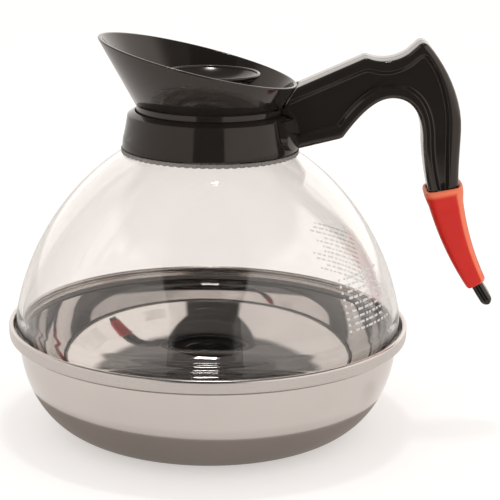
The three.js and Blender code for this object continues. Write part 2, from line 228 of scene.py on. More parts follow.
def arc(centre, radius, start, end, steps=12):
    """Points of an arc between two angles in degrees."""
    angles = [math.radians(lerp(start, end, i / steps)) for i in range(steps + 1)]
    return [Vector((centre[0] + radius * math.cos(a), centre[1] + radius * math.sin(a))) for a in angles]


# ------------------------------ meshes


def skin(name, rows, wrap_rows=False, wrap_points=True, cap_ends=False):
    """A mesh of quads between rows that have the same number of points, in millimetres."""
    count = len(rows[0])
    corners = [Vector(point) * MM for row in rows for point in row]
    faces = []
    for i in range(len(rows) if wrap_rows else len(rows) - 1):
        here = i * count
        there = (i + 1) % len(rows) * count
        for j in range(count if wrap_points else count - 1):
            k = (j + 1) % count
            faces.append((here + j, here + k, there + k, there + j))
    if cap_ends:
        faces.append(tuple(range(count)))
        faces.append(tuple(range((len(rows) - 1) * count, len(rows) * count)))
    mesh = bpy.data.meshes.new(name)
    mesh.from_pydata(corners, [], faces)
    clean(mesh)
    return add_object(name, mesh)


def clean(mesh):
    """Joins coinciding points and turns every face outwards."""
    work = bmesh.new()
    work.from_mesh(mesh)
    bmesh.ops.remove_doubles(work, verts=work.verts, dist=WELD)
    bmesh.ops.recalc_face_normals(work, faces=work.faces)
    work.to_mesh(mesh)
    work.free()


def add_object(name, mesh):
    """Puts a mesh into the scene."""
    piece = bpy.data.objects.new(name, mesh)
    bpy.context.scene.collection.objects.link(piece)
    return piece


def smooth(piece, angle=32):
    """Smooth shading, with edges sharper than the angle left crisp."""
    piece.data.shade_smooth()
    piece.data.set_sharp_from_angle(angle=math.radians(angle))


def at_angle(point, turn):
    """A point (radius, height) of a turned section, carried round the Z axis."""
    return (point[0] * math.cos(turn), point[0] * math.sin(turn), point[1])


def turned(name, section, segments=ROUND, closed=True):
    """A section of (radius, height) points turned about the Z axis.

    A closed section's last point is joined to its first.
    """
    turns = [2 * math.pi * i / segments for i in range(segments)]
    rows = [[at_angle(point, turn) for point in section] for turn in turns]
    piece = skin(name, rows, wrap_rows=True, wrap_points=closed)
    smooth(piece)
    return piece


def prism(name, outline, x0, x1):
    """A flat outline of (y, z) points given a length along X."""
    return skin(name, [[(x, p[0], p[1]) for p in outline] for x in (x0, x1)], cap_ends=True)


def boolean(piece, other, operation):
    """Joins or cuts a piece with another one, which is used up."""
    step = piece.modifiers.new("cut", "BOOLEAN")
    step.operation = operation
    step.solver = "EXACT"
    step.object = other
    view = bpy.context.evaluated_depsgraph_get()
    result = bpy.data.meshes.new_from_object(piece.evaluated_get(view))
    piece.modifiers.clear()
    piece.data = result
    bpy.data.objects.remove(other)
    return piece


def place(piece, body, slot, material, *nodes):
    """Gives a piece its material, its body and the CAD nodes that it stands for."""
    piece.data.materials.clear()
    piece.data.materials.append(material)
    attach(piece, body)
    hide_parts(*nodes)


# ------------------------------ materials

# A Mix node's sockets go by number, because its number, vector and colour sockets share names.
MIX_SHARE = 0
MIX_FIRST = 6
MIX_SECOND = 7
MIX_RESULT = 2

NOISE_LOW = 0.3                # most of a noise pattern lies between these two
NOISE_HIGH = 0.7


class Nodes:
    """A node tree, with short ways to add to it."""

    def __init__(self, tree):
        self.tree = tree

    def add(self, kind, settings=(), **sockets):
        """Adds a node. A socket's value is a number, a tuple or another node's output."""
        made = self.tree.nodes.new(kind)
        for key, value in dict(settings).items():
            setattr(made, key, value)
        for name, value in sockets.items():
            self.connect(made.inputs[name.replace("_", " ")], value)
        return made

    def connect(self, socket, value):
        """Sets a socket to a value, or links it to another node's output."""
        if isinstance(value, bpy.types.NodeSocket):
            self.tree.links.new(value, socket)
        else:
            socket.default_value = value

    def compute(self, operation, *values):
        """The result of a Math node."""
        made = self.add("ShaderNodeMath", {"operation": operation})
        for socket, value in zip(made.inputs, values):
            self.connect(socket, value)
        return made.outputs[0]

    def split(self, vector):
        """The X, Y and Z outputs of a vector."""
        return self.add("ShaderNodeSeparateXYZ", Vector=vector).outputs

    def ramp(self, value, start, end, low=0.0, high=1.0):
        """A soft step from low to high while the value goes from start to end."""
        return self.add(
            "ShaderNodeMapRange", {"interpolation_type": "SMOOTHSTEP"},
            Value=value, From_Min=start, From_Max=end, To_Min=low, To_Max=high,
        ).outputs["Result"]


class Look(Nodes):
    """A node material built round one Principled shader."""

    def __init__(self, name, colour, **numbers):
        self.material = bpy.data.materials.new(name)
        self.material.use_nodes = True
        super().__init__(self.material.node_tree)
        self.shader = self.tree.nodes["Principled BSDF"]
        coordinates = self.add("ShaderNodeTexCoord").outputs
        self.position = coordinates["Object"]
        self.normal = coordinates["Normal"]
        self.shader.inputs["Base Color"].default_value = (*colour, 1)
        for socket, value in numbers.items():
            self.shader.inputs[socket.replace("_", " ")].default_value = value

    def grain(self, scale, stretch=(1, 1, 1), detail=4):
        """A noise pattern from 0 to 1, finer along an axis with a greater stretch."""
        mapping = self.add("ShaderNodeMapping", Vector=self.position, Scale=stretch)
        noise = self.add(
            "ShaderNodeTexNoise", Vector=mapping.outputs["Vector"], Scale=scale, Detail=detail, Roughness=0.6,
        )
        return noise.outputs["Fac"]

    def rings(self, scale):
        """A fine pattern of lines that run round the Z axis."""
        x, y, z = self.split(self.position)
        flat = self.add("ShaderNodeCombineXYZ", X=x, Y=y)
        radius = self.add("ShaderNodeVectorMath", {"operation": "LENGTH"})
        self.connect(radius.inputs[0], flat.outputs["Vector"])
        drift = self.compute("MULTIPLY", x, 0.01)
        unrolled = self.add("ShaderNodeCombineXYZ", X=radius.outputs["Value"], Y=z, Z=drift)
        noise = self.add(
            "ShaderNodeTexNoise", Vector=unrolled.outputs["Vector"], Scale=scale, Detail=3, Roughness=0.7,
        )
        return noise.outputs["Fac"]

    def spread(self, pattern, low, high):
        """Maps a noise pattern onto a range."""
        return self.add(
            "ShaderNodeMapRange",
            Value=pattern, From_Min=NOISE_LOW, From_Max=NOISE_HIGH, To_Min=low, To_Max=high,
        ).outputs["Result"]

    def roughness(self, pattern, low, high):
        """Varies the roughness between two values by a pattern."""
        self.connect(self.shader.inputs["Roughness"], self.spread(pattern, low, high))

    def bump(self, pattern, height):
        """Raises the surface by a pattern, up to a height in metres."""
        bump = self.add("ShaderNodeBump", Height=pattern, Distance=height)
        self.connect(self.shader.inputs["Normal"], bump.outputs["Normal"])

    def blend(self, share, first, second):
        """Makes the base colour go from the first colour to the second as a share goes from 0 to 1."""
        mix = self.add("ShaderNodeMix", {"data_type": "RGBA"})
        self.connect(mix.inputs[MIX_SHARE], share)
        self.connect(mix.inputs[MIX_FIRST], first)
        self.connect(mix.inputs[MIX_SECOND], second)
        self.base = mix.outputs[MIX_RESULT]
        self.connect(self.shader.inputs["Base Color"], self.base)

    def colours(self, pattern, first, second):
        """Varies the base colour between two colours by a pattern."""
        self.blend(self.spread(pattern, 0, 1), (*first, 1), (*second, 1))

    def tint(self, share, colour):
        """Turns the base colour that colours() made into another one by a share from 0 to 1."""
        self.blend(share, self.base, (*colour, 1))


def satin_steel(name, shade, rough):
    """Brushed steel with fine lines round the axis."""
    tone = Vector((1.0, 0.935, 0.895)) * shade
    look = Look(name, tone, Metallic=1.0)
    lines = look.rings(2600)
    look.colours(look.grain(24), tone * 0.975, tone * 1.025)
    look.roughness(lines, rough, rough + 0.05)
    look.bump(lines, 0.0000015)
    return look.material


def mirror_steel():
    """Polished steel with a faint waviness, for the bowl's inside."""
    look = Look("mirror_steel", (0.62, 0.6, 0.59), Metallic=1.0)
    look.colours(look.grain(30), (0.6, 0.585, 0.575), (0.65, 0.635, 0.625))
    look.roughness(look.rings(900), 0.03, 0.06)
    look.bump(look.grain(60, detail=2), 0.000004)
    return look.material


def spring_steel():
    """Plain steel with fine scratches, for the clip and the screws."""
    look = Look("spring_steel", (0.4, 0.39, 0.38), Metallic=1.0)
    scratches = look.grain(900, (1, 1, 6))
    look.colours(look.grain(200), (0.34, 0.33, 0.32), (0.45, 0.44, 0.43))
    look.roughness(scratches, 0.28, 0.45)
    look.bump(scratches, 0.00001)
    return look.material


def gloss_black(name, density=1.52, rough=0.07):
    """Black moulded plastic. A denser one has a stronger reflection."""
    look = Look(name, (0.017, 0.0145, 0.0125), IOR=density, Specular_Tint=(1.0, 0.9, 0.82, 1))
    look.colours(look.grain(40), (0.0155, 0.0132, 0.0113), (0.0185, 0.0158, 0.0137))
    look.roughness(look.grain(220, detail=6), rough, rough + 0.06)
    look.bump(look.grain(90, detail=2), 0.00001)
    return look.material


def clear_plastic():
    """The dome's clear plastic, very slightly uneven."""
    look = Look("clear_plastic", (0.935, 0.917, 0.903), IOR=1.5, Transmission_Weight=1.0)
    look.colours(look.grain(12), (0.943, 0.925, 0.912), (0.927, 0.908, 0.894))
    look.roughness(look.grain(300, detail=6), 0.0, 0.012)
    look.bump(look.grain(18, detail=1), 0.00004)
    return look.material


def orange_silicone():
    """Soft silicone, deep orange-red, with painted light: paler at the lip and along the corners that face
    away from the dome, as if lit.
    """
    look = Look(
        "orange_silicone", (0.66, 0.015, 0.008), IOR=1.4, Subsurface_Weight=0.35, Subsurface_Scale=0.004,
        Sheen_Weight=0.35, Sheen_Roughness=0.25, Sheen_Tint=(1.0, 0.45, 0.3, 1),
    )
    look.colours(look.grain(60), (0.64, 0.013, 0.0065), (0.68, 0.018, 0.009))
    # Painted light: the lip is painted paler, standing in for the light that comes through the thin lip and
    # falls on its top.
    spot = look.split(look.position)
    rise = look.compute("SUBTRACT", TAIL_ARC_Z * MM, spot["Z"])
    run = look.compute("SUBTRACT", TAIL_ARC_X * MM, spot["X"])
    along = look.compute("ARCTAN2", rise, run)
    lip = look.ramp(along, SLEEVE_TOP + math.radians(1.5), SLEEVE_TOP + math.radians(0.6))
    # Painted highlight: the corners that face away from the dome (+X) are painted paler, as if lit from that
    # side.
    facing = look.split(look.normal)
    aside = look.compute("ABSOLUTE", facing["Y"])
    corner = look.ramp(look.compute("MULTIPLY", facing["X"], aside), 0.2, 0.4)
    look.tint(look.compute("MAXIMUM", lip, corner), (0.94, 0.215, 0.105))
    look.roughness(look.grain(160), 0.42, 0.54)
    look.bump(look.grain(1400, detail=3), 0.00001)
    return look.material


def pale_silicone():
    """Grey silicone, for the seals at the dome's foot and under the collar."""
    look = Look("pale_silicone", (0.235, 0.212, 0.195), IOR=1.42)
    look.colours(look.grain(150), (0.21, 0.19, 0.175), (0.26, 0.235, 0.215))
    look.roughness(look.grain(400), 0.4, 0.6)
    look.bump(look.grain(900), 0.00002)
    return look.material


def black_silicone():
    """Black silicone, for the O-ring inside the neck."""
    look = Look("black_silicone", (0.02, 0.019, 0.018), IOR=1.42)
    look.colours(look.grain(150), (0.016, 0.015, 0.014), (0.025, 0.024, 0.023))
    look.roughness(look.grain(500), 0.5, 0.65)
    look.bump(look.grain(1200), 0.00001)
    return look.material


def printed_ink(name, cover):
    """Pale ink. Its cover goes from 0, unseen, to 1, solid."""
    look = Look(name, (0.8, 0.79, 0.77), IOR=1.5, Alpha=cover)
    look.colours(look.grain(900), (0.72, 0.71, 0.69), (0.86, 0.85, 0.83))
    look.roughness(look.grain(700), 0.35, 0.55)
    look.bump(look.grain(1500), 0.000004)
    return look.material


# ------------------------------ base and hoop


def bowl_side(floor_z, wide, steps=80):
    """The base bowl's wall, a quarter of an ellipse from the flat bottom up to the brim."""
    height = BASE_H - floor_z
    points = []
    for i in range(steps + 1):
        lean = i / steps * math.pi / 2
        radius = lerp(BASE_FLAT_R, wide, math.sin(lean))
        points.append(Vector((radius, floor_z + height * (1 - math.cos(lean)))))
    return points


def base_bowl(inside, outside):
    """The steel bowl, with one material on its inside and another on its outside."""
    outer = bowl_side(0, BASE_R)
    brim = rounded([
        (BASE_R, BASE_H), (BASE_BRIM_R, BASE_H + 1.3, 0.4), (BASE_BRIM_R - 0.5, BASE_H + 2, 0.3),
        (BASE_R - BASE_WALL, BASE_H),
    ], closed=False)
    inner = bowl_side(BASE_WALL, BASE_R - BASE_WALL)[::-1]
    floor_rings = 6
    floor_radii = [BASE_FLAT_R * i / floor_rings for i in range(floor_rings)]
    under = [Vector((r, 0)) for r in floor_radii]
    over = [Vector((r, BASE_WALL)) for r in floor_radii[::-1]]
    piece = turned("base_bowl_shell", under + outer + brim[1:-1] + inner + over, closed=False)
    place(piece, "vessel", "bowl_steel", outside, "base_bowl")
    piece.data.materials.append(inside)
    for face in piece.data.polygons:
        face.material_index = int(face_is_inside(face))


def face_is_inside(face):
    """True where a face of the base bowl looks up or towards the axis."""
    middle = face.center
    outwards = face.normal.x * middle.x + face.normal.y * middle.y
    return face.normal.z > 0.5 or outwards < 0


def rim_hoop(material):
    """The steel hoop, rolled over at the top and hooked under the bowl's brim at the bottom."""
    bead = arc((HOOP_R - HOOP_BEAD_R, HOOP_TOP - HOOP_BEAD_R), HOOP_BEAD_R, 0, 225, steps=20)
    skirt = rounded([
        (HOOP_R - 0.9, 46.2), (HOOP_R - 0.9, 44, 0.6), (HOOP_R - 1.4, 43, 0.5), (BASE_R + 0.5, 41.7, 0.2),
        (BASE_R + 0.5, 41, 0.25), (HOOP_R - 1.1, 42.2, 0.9), (HOOP_R - 0.2, 43.1, 0.5), (HOOP_R, 44, 0.4),
        (HOOP_R, HOOP_TOP - HOOP_BEAD_R - 0.2),
    ], closed=False)
    piece = turned("rim_hoop_band", skirt + bead, segments=256)
    place(piece, "vessel", "hoop_steel", material, "rim_hoop")


def base_seal(material):
    """The seal between the dome's foot and the bowl's brim."""
    inner = DOME_FOOT_R - DOME_WALL
    outer = inner + 2.9
    high = DOME_FOOT_Z - GAP
    low = high - 1.8
    piece = turned("base_seal_ring", rounded([
        (inner, low, 0.3), (inner + 1, low, 0.3), (outer, high - 0.5, 0.2), (outer, high, 0.2),
        (inner, high, 0.3),
    ]))
    place(piece, "vessel", "grey_silicone", material, "base_seal")


# ------------------------------ dome and neck


def dome_point(radius, inset=0.0):
    """A point (radius, height) of the dome's surface, on a shell set in from the outside."""
    share = (radius / (DOME_A - inset)) ** DOME_POWER
    return Vector((radius, DOME_CENTRE_Z + (DOME_B - inset) * (1 - share) ** (1 / DOME_POWER)))


def dome_radius(height):
    """The dome's outer radius at a height."""
    share = ((height - DOME_CENTRE_Z) / DOME_B) ** DOME_POWER
    return DOME_A * (1 - share) ** (1 / DOME_POWER)


def dome_side(wide, narrow, inset, steps=60):
    """The dome's wall from its foot to its shoulder, evenly spread along the curve."""
    across = DOME_A - inset
    low = math.acos(wide / across)
    high = math.acos(narrow / across)
    return [dome_point(across * math.cos(lerp(low, high, i / steps)), inset) for i in range(steps + 1)]


def dome(material):
    """The clear upper bowl, from its flanged foot to the bead round its neck."""
    outside = dome_side(DOME_FOOT_R, DOME_SHOULDER_R, 0)
    inside = dome_side(DOME_FOOT_R - DOME_WALL, DOME_SHOULDER_R - DOME_WALL, DOME_WALL)[::-1]
    neck_inner = NECK_R - DOME_WALL
    foot = rounded([
        (DOME_FOOT_R - DOME_WALL, DOME_FOOT_Z + 1), (DOME_FOOT_R - DOME_WALL, DOME_FOOT_Z, 0.2),
        (DOME_FLANGE_R, DOME_FOOT_Z, 0.2), (DOME_FLANGE_R, DOME_FOOT_Z + 0.9, 0.3),
        (DOME_FOOT_R + 0.1, DOME_FOOT_Z + 1.2, 0.4), (DOME_FOOT_R, DOME_FOOT_Z + 2.2),
    ], closed=False)
    bead = rounded([
        (NECK_R, NECK_FOOT_Z), (NECK_R, NECK_TOP - 3.6, 0.5), (NECK_BEAD_R, NECK_TOP - 2.8, 0.5),
        (NECK_BEAD_R, NECK_TOP, 0.8), (neck_inner, NECK_TOP, 0.8), (neck_inner, NECK_BORE_FOOT_Z),
    ], closed=False)
    rise = follow(outside[-1], ((NECK_R, 128.4), (NECK_R, NECK_FOOT_Z)))
    fall = follow((neck_inner, NECK_BORE_FOOT_Z), ((neck_inner, 127), inside[0]))
    section = foot[:-1] + outside + rise[1:-1] + bead + fall[1:] + inside[1:-1]
    place(turned("dome_shell", section), "vessel", "clear_dome", material, "dome")


def neck_seal(material):
    """A ring under the collar with shallow teeth round its outer edge."""
    high = COLLAR_BOTTOM - GAP
    inner = [Vector((36.8, high)), Vector((38.2, 124.75))]
    tooth = inner + [Vector((38.9, 124.3)), Vector((39, high))]
    notch = inner + [Vector((38.6, 124.5)), Vector((38.65, high))]
    pitch = ((0.0, notch), (0.3, notch), (0.42, tooth), (0.88, tooth))
    rows = []
    for i in range(SEAL_TEETH):
        for share, section in pitch:
            turn = 2 * math.pi * (i + share) / SEAL_TEETH
            rows.append([at_angle(point, turn) for point in section])
    piece = skin("neck_seal_ring", rows, wrap_rows=True)
    smooth(piece)
    place(piece, "vessel", "grey_silicone", material, "neck_seal")


def collar_side(clearance=0.0):
    """The collar's outer side from its foot to its shoulder."""
    shoulder = (COLLAR_SHOULDER_R + clearance, COLLAR_SHOULDER_Z - 0.5)
    start = (COLLAR_FOOT_R + clearance, COLLAR_FOOT_Z)
    return follow(start, ((37.2 + clearance, 134), shoulder), steps=12)


def collar(material):
    """The black ring round the neck, with a slot inside for the clip."""
    foot = rounded([
        (COLLAR_BORE_R, 128.6), (36.6, COLLAR_BOTTOM, 0.3), (COLLAR_R, COLLAR_BOTTOM, 0.5),
        (COLLAR_R, COLLAR_BOTTOM + 0.8, 0.3), (COLLAR_FOOT_R, COLLAR_FOOT_Z),
    ], closed=False)
    shoulder = rounded([
        (COLLAR_SHOULDER_R, COLLAR_SHOULDER_Z - 0.6), (COLLAR_SHOULDER_R - 0.15, COLLAR_SHOULDER_Z, 0.4),
        (33.6, 142.5, 0.5), (33, 142.4, 0.2), (33, 141.6), (33.6, 141.2), (33.6, 138.4), (34.9, 137.4),
        (34.9, 133.7), (COLLAR_BORE_R, 133.7), (COLLAR_BORE_R, 128.6),
    ], closed=False)
    piece = turned("collar_ring", foot[:-1] + collar_side()[:-1] + shoulder[:-1])
    place(piece, "vessel", "black_plastic", material, "collar")


# ------------------------------ funnel


def cone_radius(z):
    """The outer radius of the funnel's cone at a height."""
    return CONE_START_R + CONE_FLARE * (z - CONE_START_Z)


def rim_height(turn, set_in=0.0):
    """Height at which the cone, set in by a wall, meets the sloping plane of the rim."""
    lean = RIM_SLOPE * math.cos(turn)
    base = CONE_START_R - set_in - CONE_FLARE * CONE_START_Z
    return (LIP_Z + RIM_SLOPE * LIP_X - lean * base) / (1 + CONE_FLARE * lean)


def funnel(material):
    """The pouring funnel: a skirt inside the neck, a groove for the O-ring and a cone with a slanted rim."""
    flange = NECK_TOP + 0.4
    groove_inner = 29.3
    groove_outer = 31.7
    groove_top = flange + 1.7
    skirt = rounded([
        (THROAT_R, LEDGE_Z, 0.3), (THROAT_R, THROAT_BOTTOM, 0.4), (SKIRT_R, THROAT_BOTTOM, 0.8),
        (SKIRT_R, flange), (groove_inner, flange), (groove_inner, groove_top),
        (groove_outer, groove_top), (groove_outer, flange), (FUNNEL_NECK_R, flange, 0.2),
        (FUNNEL_NECK_R, CONE_START_Z - 0.4, 0.15), (CONE_START_R, CONE_START_Z, 0.3),
    ], closed=False)
    rows = []
    for i in range(ROUND):
        turn = 2 * math.pi * i / ROUND
        outer_top = rim_height(turn)
        inner_top = rim_height(turn, CONE_WALL)
        side = rounded([
            (CONE_START_R, CONE_START_Z), (cone_radius(outer_top), outer_top, 0.75),
            (cone_radius(inner_top) - CONE_WALL, inner_top, 0.75),
            (cone_radius(LEDGE_Z) - CONE_WALL, LEDGE_Z, 0.6), (THROAT_R, LEDGE_Z),
        ], closed=False, steps=6)
        rows.append([at_angle(point, turn) for point in skirt[:-1] + side[:-1]])
    piece = skin("funnel_cone", rows, wrap_rows=True)
    smooth(piece)
    place(piece, "vessel", "black_plastic", material, "funnel")


# ------------------------------ lid


def lid_cap(material):
    """The lid's dish on its hollow stem, which drains it."""
    hub_r = 8
    hub_top = 150.7
    rim_r = 0.7
    rim = arc((LID_R - rim_r, LID_TOP - rim_r), rim_r, -20, 180, steps=14)
    under = follow((hub_r, hub_top), ((14, 151.4), (LID_R - 0.25, 157.8)), steps=16)
    dish_edge = (LID_R - 2 * rim_r, LID_TOP - rim_r - 0.3)
    dish = follow(dish_edge, ((LID_R - 4.2, 155.9), (12.5, 153), (LID_DRAIN_R + 1, 152.75)), steps=24)
    stem = rounded([
        (LID_DRAIN_R + 1, 152.7), (LID_DRAIN_R, 152.7, 0.5), (LID_DRAIN_R, LID_STEM_BOTTOM, 0.3),
        (LID_STEM_R - 0.4, LID_STEM_BOTTOM, 0.3), (LID_STEM_R + 0.8, 142.8, 0.2), (LID_STEM_R, 143, 0.1),
        (LID_STEM_R, hub_top, 0.3), (hub_r, hub_top),
    ], closed=False)
    piece = turned("lid_dish", stem[:-1] + under + rim + dish[:-1], segments=144)
    place(piece, "lid", "black_plastic", material, "lid_cap")


def lid_spider(material):
    """The seat ring and the hub, joined by four ribs that hold the lid over the throat."""
    ring_inner = 24.4
    ring_outer = 29.6
    seat = LEDGE_Z + GAP
    seat_top = seat + 1.7
    skirt = THROAT_R - GAP
    piece = turned("lid_spider_frame", rounded([
        (ring_inner, SPIDER_BOTTOM, 0.3), (skirt, SPIDER_BOTTOM, 0.5), (skirt, seat),
        (ring_outer, seat, 0.3), (ring_outer, seat_top, 0.5), (ring_inner, seat_top, 0.5),
    ]), segments=128)
    bore = LID_STEM_R + GAP
    hub_r = 6.8
    hub_low = 143.3
    hub_high = 150.4
    hub = turned("hub", rounded([
        (bore, hub_low, 0.2), (hub_r, hub_low, 0.4), (hub_r, hub_high, 0.4), (bore, hub_high, 0.2),
    ]), segments=64)
    boolean(piece, hub, "UNION")
    outline = rounded([(6, 144), (25.2, 144), (25.2, 146.6), (10, 149.4, 3), (6, 150)])
    rib_half = 0.9
    for quarter in range(4):
        turn = Matrix.Rotation(math.radians(45 + 90 * quarter), 3, "Z")
        sides = [[turn @ Vector((p[0], y, p[1])) for p in outline] for y in (-rib_half, rib_half)]
        boolean(piece, skin("rib", sides, cap_ends=True), "UNION")
    smooth(piece)
    place(piece, "lid", "black_plastic", material, "lid_spider")


# ------------------------------ handle


def tail_point(angle, across):
    """A point of the handle's plane, by its angle on the tail's arc and its distance across it."""
    radius = TAIL_ARC_R + across
    return Vector((TAIL_ARC_X - radius * math.cos(angle), TAIL_ARC_Z - radius * math.sin(angle)))


def tail_taper(angle, at_top, at_waist):
    """A size that changes evenly down the tail and stays the same below its waist."""
    return lerp(at_top, at_waist, min((angle - TAIL_TOP) / (TAIL_WAIST - TAIL_TOP), 1))


def outer_edge():
    """The hook's upper and outer edge, from the saddle to the top of the tail."""
    return follow(
        (33, 152.4), ((65.2, 167.2),), ((66.6, 167.9), (68, 167.5)),
        ((72.5, 165.9), (79, 165.9), (84.6, 169.9)), ((88.2, 173.1),), ((90.6, 175.9), (93.2, 173.6)),
        ((100.4, 166.1), (108.7, 151.6), (108.7, 137)),
        ((108.7, 128), (108.2, 119.5), tail_point(TAIL_TOP, -GRIP_END_HALF)),
    )


def inner_edge():
    """The hook's lower and inner edge, leg by leg opposite the outer one."""
    return follow(
        (33, 126.4), ((55.5, 132.3),), ((57.4, 132.7), (58.1, 133.6)),
        ((62.4, 139.8), (66, 144), (69.3, 146.6)), ((72.6, 149.3), (75.8, 150.6), (79.1, 150.6)),
        ((81.2, 150.6), (83.1, 150.1), (84.8, 149.2)),
        ((89.5, 146.7), (92.3, 140.2), (92.4, 131)), ((93.1, 121.5), tail_point(TAIL_TOP, GRIP_END_HALF)),
    )


def outer_panel_edge():
    """The recess's edge that runs along the hook's outer edge."""
    return follow(
        (30, 146.7), ((64.5, 162.3),), ((67.3, 163.7), (70, 162.9)),
        ((73.8, 161.8), (78.3, 162), (82.7, 164.2)), ((84.2, 164.9), (85.6, 165.9), (87, 167.1)),
        ((91, 171.6), (93.6, 168.7)),
        ((98.8, 162.4), (103.6, 150.6), (103.6, 136.5)), ((103.7, 124), tail_point(TAIL_TOP, -2.4)),
    )


def inner_panel_edge():
    """The recess's edge that runs along the hook's inner edge."""
    return follow(
        (30, 130.4), ((54.6, 137.2),), ((56, 137.6), (56.8, 138.7)),
        ((61.8, 145.7), (67.3, 151.9), (73.5, 154.1)), ((75.4, 154.8), (77.4, 155.2), (79.5, 155.2)),
        ((82.2, 155.2), (84.5, 154.6), (86.5, 153.5)),
        ((92.5, 150.1), (95.6, 142), (95.7, 131.5)), ((96.4, 121), tail_point(TAIL_TOP, 3)),
    )


def inward(points, side):
    """Unit vectors across an edge: side is 1 for the left of its run, -1 for the right."""
    across = []
    for i in range(len(points)):
        run = points[min(i + 1, len(points) - 1)] - points[max(i - 1, 0)]
        across.append(Vector((-run.y, run.x)).normalized() * side)
    return across


def edge_round(share, at_grip):
    """The rounding of an edge at a share of the hook's length: it grows towards the grip."""
    growth_start = 0.62
    growth_length = 0.3
    return lerp(SADDLE_EDGE_R, at_grip, max(0, min(1, (share - growth_start) / growth_length)))


def half_section(outer, inner, panels, half, rounds, depth):
    """Points (x, y, z) of one side of the hook's cross-section, from its outer edge to its inner edge.

    outer, inner and the two panels are each a point of the handle's plane and a vector in that plane.
    The edges' vectors point into the material, and the panels' into the recess.
    """
    section = []

    def add(start, inset, y):
        spot = start[0] + start[1] * inset
        section.append((spot.x, y, spot.y))

    quarter = 6
    add(outer, PARTING_DEPTH, 0)
    add(outer, 0, PARTING_HALF)
    for i in range(quarter + 1):
        angle = math.pi / 2 * i / quarter
        add(outer, rounds[0] * (1 - math.cos(angle)), half - rounds[0] * (1 - math.sin(angle)))
    slope = rounded([
        (-0.6, 0), (0, 0, 0.3), (PANEL_BEVEL, depth, 0.6), (PANEL_BEVEL + 0.8, depth),
    ], closed=False, steps=3)
    for inset, fall in slope:
        add(panels[0], inset, half - fall)
    for inset, fall in reversed(slope):
        add(panels[1], inset, half - fall)
    for i in range(quarter + 1):
        angle = math.pi / 2 * (1 - i / quarter)
        add(inner, rounds[1] * (1 - math.cos(angle)), half - rounds[1] * (1 - math.sin(angle)))
    add(inner, 0, PARTING_HALF)
    add(inner, PARTING_DEPTH, 0)
    return section


def whole_section(side):
    """One side's points and their mirror image, as a closed loop."""
    return side + [(x, -y, z) for x, y, z in reversed(side[1:-1])]


def rail(edge, side):
    """An edge's points, each with the unit vector across it."""
    return list(zip(edge, inward(edge, side)))


def hook_rows():
    """Cross-sections of the hook, from the saddle to the top of the tail."""
    outer = rail(outer_edge(), -1)
    inner = rail(inner_edge(), 1)
    outer_panel = rail(outer_panel_edge(), -1)
    inner_panel = rail(inner_panel_edge(), 1)
    thinning_start = 0.9
    thinning_length = 0.1
    rows = []
    last = len(outer) - 1
    for i in range(last + 1):
        share = i / last
        half = HANDLE_HALF - GRIP_THINNING * max(0, (share - thinning_start) / thinning_length)
        rounds = edge_round(share, OUTER_EDGE_R), edge_round(share, INNER_EDGE_R)
        panels = outer_panel[i], inner_panel[i]
        rows.append(whole_section(half_section(outer[i], inner[i], panels, half, rounds, PANEL_DEPTH)))
    return rows


def tail_rows():
    """The tail inside the sleeve and the tongue that shows below it, down to its round end."""
    rows = []
    steps = 14
    for i in range(1, steps + 1):
        angle = lerp(TAIL_TOP, TAIL_END, i / steps)
        width = tail_taper(angle, TAIL_TOP_HALF, TAIL_WAIST_HALF)
        depth = tail_taper(angle, TAIL_TOP_DEPTH, TAIL_WAIST_DEPTH)
        rows.append(tail_section(angle, width, 0, depth))
    end_shrink = 1.2
    for lean in (20, 40, 58, 72, 82):
        ahead = math.sin(math.radians(lean))
        width = TAIL_WAIST_HALF * math.cos(math.radians(lean))
        depth = TAIL_WAIST_DEPTH - end_shrink * ahead ** 2
        rows.append(tail_section(TAIL_END, width, TAIL_WAIST_HALF * ahead, depth))
    return rows


def tail_section(angle, width, ahead, depth):
    """A cross-section of the tail, with as many points as the hook's, moved ahead along the arc."""
    along = Vector((math.sin(angle), -math.cos(angle)))
    outer = tail_point(angle, -width) + along * ahead
    inner = tail_point(angle, width) + along * ahead
    across = (inner - outer).normalized()
    largest_round = min(0.9 * width, 0.5 * depth)
    rounds = min(OUTER_EDGE_R, largest_round), min(INNER_EDGE_R, largest_round)
    squeeze = across * (0.1 * width)
    panels = (outer.lerp(inner, 0.35), squeeze), (outer.lerp(inner, 0.65), -squeeze)
    return whole_section(half_section((outer, across), (inner, -across), panels, depth, rounds, 0.0))


def neck_space():
    """What the collar and the funnel fill, with clearance: the handle's root is hollowed by it."""
    low = 120
    high = 160
    step_z = 142.9
    neck_r = FUNNEL_NECK_R + GAP
    return turned("neck_space", rounded([
        (0, low), (COLLAR_R + GAP, low), *collar_side(GAP), (COLLAR_SHOULDER_R + GAP, FLANGE_TOP),
        (34, step_z), (neck_r, step_z), (neck_r, CONE_START_Z - 0.3), (CONE_START_R + 0.6, CONE_START_Z),
        (cone_radius(high) + GAP + 0.3, high), (0, high),
    ]))


def root_drum():
    """The root's outside: a drum round the collar, a waist round the funnel's neck, and a cone above."""
    low = 120
    high = 170
    over_cone = 1.3
    return turned("drum", rounded([
        (0, low), (SADDLE_R, low), (SADDLE_R, 136, 8), (SADDLE_R - 1.2, 139.5, 3),
        (SADDLE_R - 1.6, FLANGE_TOP, 1.2), (ROOT_WAIST_R, 144, 2.5), (ROOT_WAIST_R, 147.5, 4),
        (cone_radius(151) + over_cone, 151, 8), (cone_radius(high) + over_cone, high), (0, high),
    ], steps=6))


